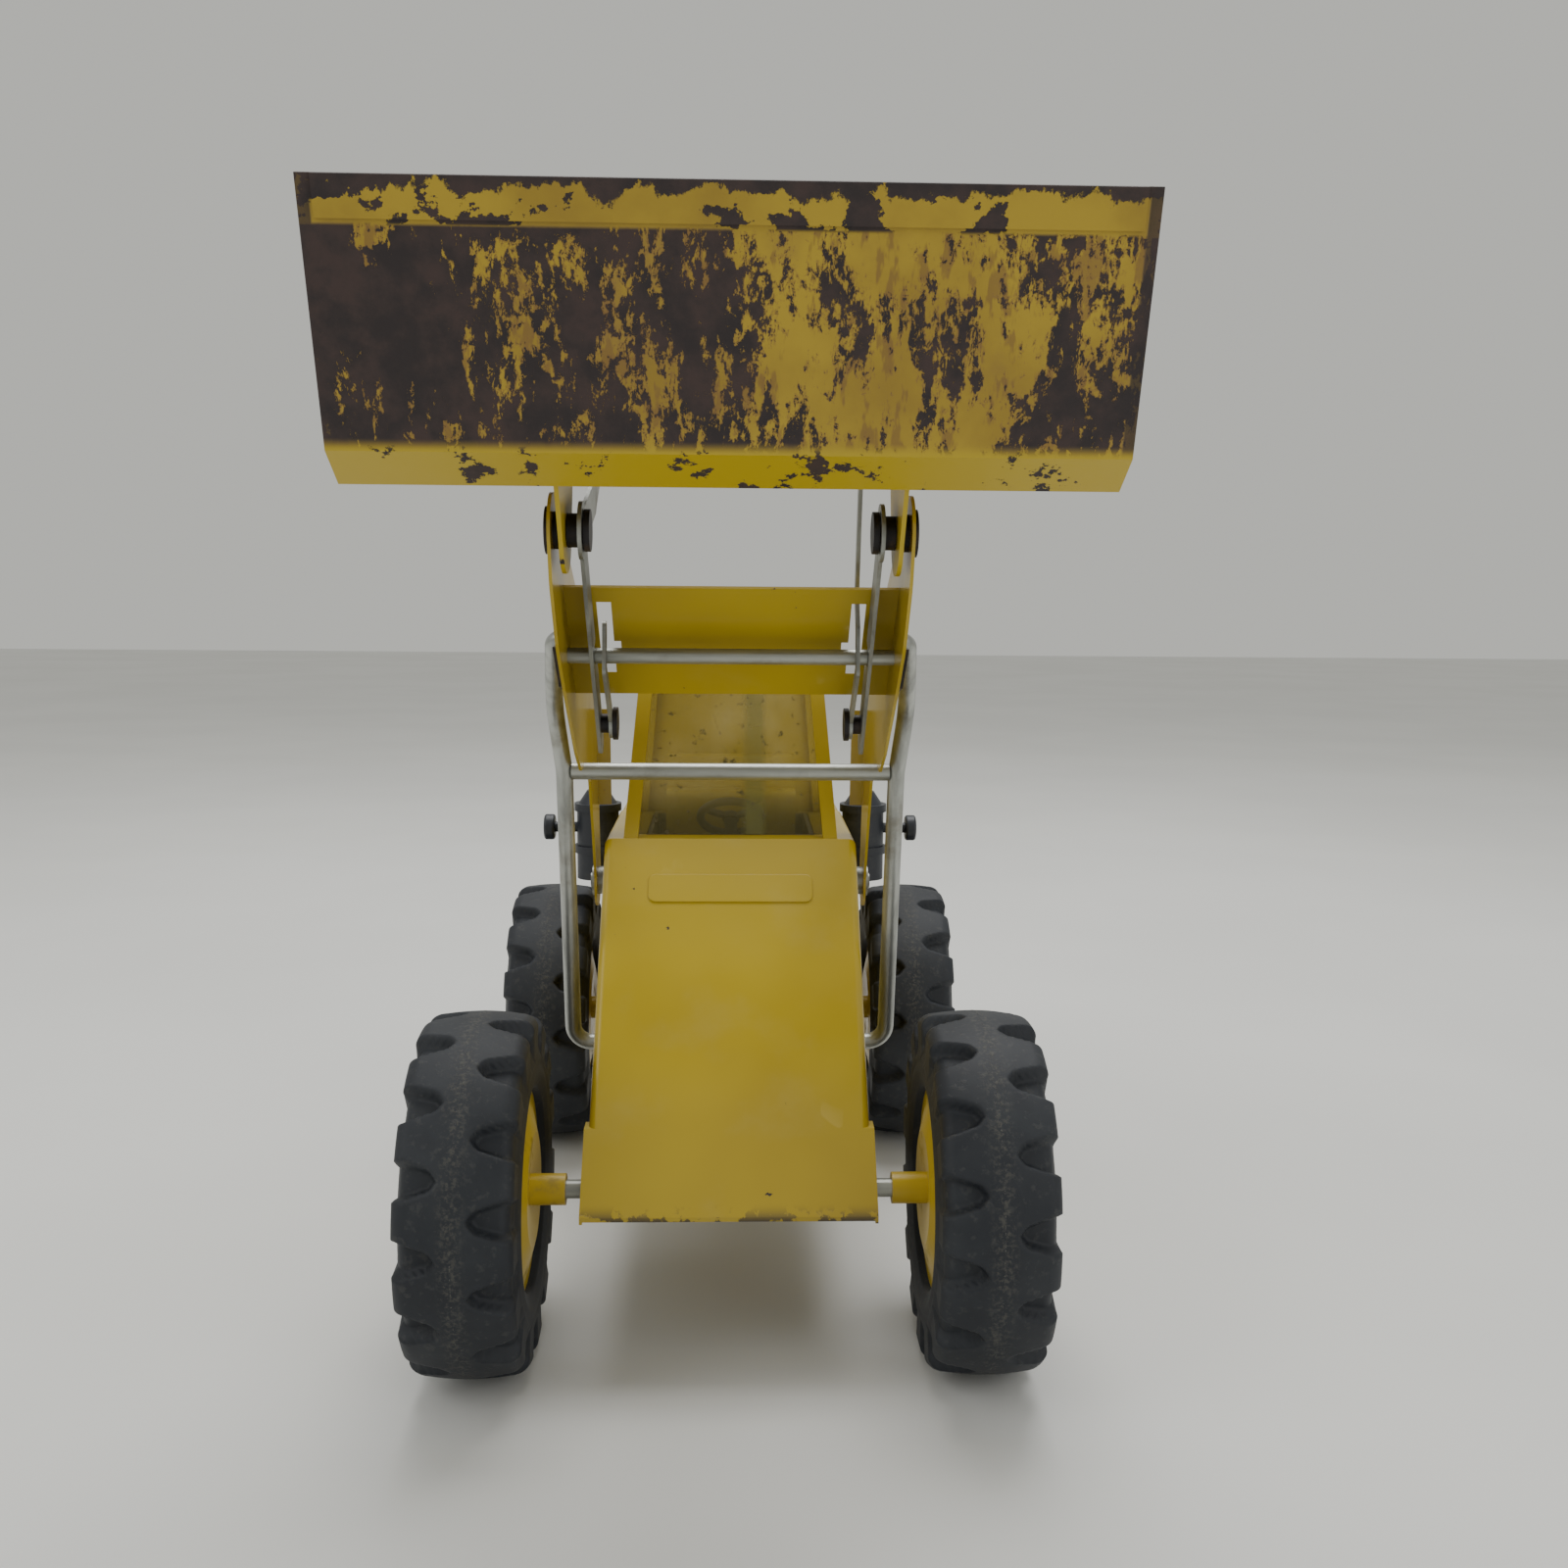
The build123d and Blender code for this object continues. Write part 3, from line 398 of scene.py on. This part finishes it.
def ring_tree(name):
    """Geometry Nodes: beads set round a circle about X, used for the mould seam and its flash."""
    tree = bpy.data.node_groups.new(name, "GeometryNodeTree")
    tree.interface.new_socket("Geometry", in_out="OUTPUT", socket_type="NodeSocketGeometry")
    sizes = {}
    for label, kind, value in (("Ring Radius", "NodeSocketFloat", 0.05), ("Bead", "NodeSocketFloat", 0.001),
                               ("Beads", "NodeSocketInt", 90), ("Material", "NodeSocketMaterial", None)):
        made = tree.interface.new_socket(label, in_out="INPUT", socket_type=kind)
        if value is not None:
            made.default_value = value
        sizes[label] = made.identifier
    start = tree.nodes.new("NodeGroupInput")
    end = tree.nodes.new("NodeGroupOutput")
    circle = tree.nodes.new("GeometryNodeMeshCircle")
    tree.links.new(start.outputs["Beads"], circle.inputs["Vertices"])
    tree.links.new(start.outputs["Ring Radius"], circle.inputs["Radius"])
    turn = tree.nodes.new("GeometryNodeTransform")
    turn.inputs["Rotation"].default_value = (0, math.pi / 2, 0)
    tree.links.new(circle.outputs["Mesh"], turn.inputs["Geometry"])
    bead = tree.nodes.new("GeometryNodeMeshIcoSphere")
    bead.inputs["Subdivisions"].default_value = 1
    tree.links.new(start.outputs["Bead"], bead.inputs["Radius"])
    uneven = tree.nodes.new("FunctionNodeRandomValue")
    uneven.data_type = "FLOAT"
    uneven.inputs[2].default_value = 0.75
    uneven.inputs[3].default_value = 1.25
    uneven.inputs["Seed"].default_value = 7
    set_on = tree.nodes.new("GeometryNodeInstanceOnPoints")
    tree.links.new(turn.outputs["Geometry"], set_on.inputs["Points"])
    tree.links.new(bead.outputs["Mesh"], set_on.inputs["Instance"])
    tree.links.new(uneven.outputs[1], set_on.inputs["Scale"])
    real = tree.nodes.new("GeometryNodeRealizeInstances")
    tree.links.new(set_on.outputs["Instances"], real.inputs["Geometry"])
    finish = tree.nodes.new("GeometryNodeSetMaterial")
    tree.links.new(real.outputs["Geometry"], finish.inputs["Geometry"])
    tree.links.new(start.outputs["Material"], finish.inputs["Material"])
    tree.links.new(finish.outputs["Geometry"], end.inputs["Geometry"])
    return tree, sizes


def grown(name, tree, settings, place):
    """Run a Geometry Nodes tree once and keep the result as a plain mesh at its place."""
    holder = bpy.data.objects.new(name, bpy.data.meshes.new(name))
    bpy.context.scene.collection.objects.link(holder)
    modifier = holder.modifiers.new("nodes", "NODES")
    modifier.node_group = tree
    for key, value in settings.items():
        modifier[key] = value
    depsgraph = bpy.context.evaluated_depsgraph_get()
    mesh = bpy.data.meshes.new_from_object(holder.evaluated_get(depsgraph))
    mesh.name = name + " mesh"
    mesh.transform(Matrix.Translation(place))
    bpy.data.objects.remove(holder)
    piece = bpy.data.objects.new(name, mesh)
    bpy.context.scene.collection.objects.link(piece)
    return piece


seam_tree, seam_sizes = ring_tree("mould seam")
for tyre_name in tyre_names:
    low, high = (Vector(corner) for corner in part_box(tyre_name))
    middle = (low + high) / 2
    tread = (high.z - low.z) / 2 - 0.0003
    seam = grown(tyre_name + "_seam", seam_tree, {
        seam_sizes["Ring Radius"]: tread, seam_sizes["Bead"]: SEAM_BEAD,
        seam_sizes["Beads"]: SEAM_BEADS, seam_sizes["Material"]: seam_rubber}, middle)
    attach(seam, tyre_name.replace("tyre", "wheel"))


# ---------------------------------------------------------------------------
# Windshield: a flat clear plastic pane behind the front posts. It has yellowed
# and holds a film of dust with darker specks. One greenish band on it is painted
# shadow and dark reflection, and the pane is darker towards its bottom edge.
ink = Ink("dusty windshield with painted shade")
film = ink.noise(40, 6, 0.62)
speck = ink.noise(260, 5, 0.7).band(0.62, 0.66)
low, high = (Vector(corner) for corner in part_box("windshield"))
# Painted shadow and dark reflection: a greenish vertical band 62% across the pane, darker and less clear.
shade_band_x = low.x + 0.62 * (high.x - low.x)
streak_and_pane_shade = (0.006 - (ink.x - shade_band_x).size()).band(0.0, 0.004)
# The pane is darker and less clear towards its bottom edge.
pane_bottom_darkening = 1 - ink.z.band(low.z + 0.004, low.z + 0.026)
colour = ink.mix(film.band(0.35, 0.7), (0.50, 0.41, 0.12), (0.66, 0.56, 0.24))
colour = ink.mix(pane_bottom_darkening, colour, (0.105, 0.095, 0.035))
colour = ink.mix(streak_and_pane_shade * 0.6, colour, (0.22, 0.22, 0.07))
colour = ink.mix(speck, colour, (0.10, 0.085, 0.04))
cover = film * 0.30 + pane_bottom_darkening * 0.26 + streak_and_pane_shade * 0.22 + speck * 0.38 + 0.12
paint(ink.finish(colour, 0.24 + film * 0.2, 0.0, film, 0.00005, alpha=cover), "windshield")


# ---------------------------------------------------------------------------
# Floor, light and camera: a pale table top in a pale room, under one wide
# overhead lamp and two weaker ones, seen from just above the nose.
stage_size = 6.0
floor_mesh = bpy.data.meshes.new("floor")
floor_mesh.from_pydata(
    [(-stage_size, -stage_size, 0), (stage_size, -stage_size, 0), (stage_size, stage_size, 0),
     (-stage_size, stage_size, 0)], [], [(0, 1, 2, 3)])
floor = bpy.data.objects.new("floor", floor_mesh)
bpy.context.scene.collection.objects.link(floor)
ink = Ink("pale table")
floor_mesh.materials.append(ink.finish(
    ink.mix(ink.noise(3, 3).band(0.3, 0.7), (0.70, 0.70, 0.675), (0.74, 0.74, 0.715)), 0.6))

world = bpy.data.worlds.new("studio")
world.use_nodes = True
world.node_tree.nodes["Background"].inputs[0].default_value = (0.60, 0.60, 0.565, 1)
world.node_tree.nodes["Background"].inputs[1].default_value = 0.92
bpy.context.scene.world = world


def lamp(name, place, aim, size, power):
    """A square soft lamp that looks at a point."""
    data = bpy.data.lights.new(name, "AREA")
    data.energy = power
    data.size = size
    shade = bpy.data.objects.new(name, data)
    shade.location = place
    shade.rotation_euler = (Vector(aim) - Vector(place)).to_track_quat("-Z", "Y").to_euler()
    bpy.context.scene.collection.objects.link(shade)


lamp("overhead", (0.1, 0.45, 1.6), (0, 0.1, 0.1), 1.1, 20)
lamp("window", (-1.2, -0.7, 1.1), (0, 0, 0.15), 0.9, 5)
lamp("fill", (1.1, -1.1, 0.7), (0, -0.05, 0.15), 0.9, 4)

LENS = 35.7
CAMERA_PLACE = (0, -0.6104, 0.2616)
pitch, yaw, roll = (math.radians(angle) for angle in (7.04, 1.97, 0.47))
ahead = Vector((math.sin(yaw) * math.cos(pitch), math.cos(yaw) * math.cos(pitch), -math.sin(pitch)))
right = Vector((math.cos(yaw), -math.sin(yaw), 0))
up = right.cross(ahead)
right, up = right * math.cos(roll) + up * math.sin(roll), up * math.cos(roll) - right * math.sin(roll)
camera_data = bpy.data.cameras.new("camera")
camera_data.sensor_width = 36
camera_data.lens = LENS
camera_data.clip_start = 0.01
camera = bpy.data.objects.new("camera", camera_data)
camera.matrix_world = Matrix.Translation(CAMERA_PLACE) @ Matrix((right, up, -ahead)).transposed().to_4x4()
bpy.context.scene.collection.objects.link(camera)
bpy.context.scene.camera = camera
bpy.context.view_layer.update()
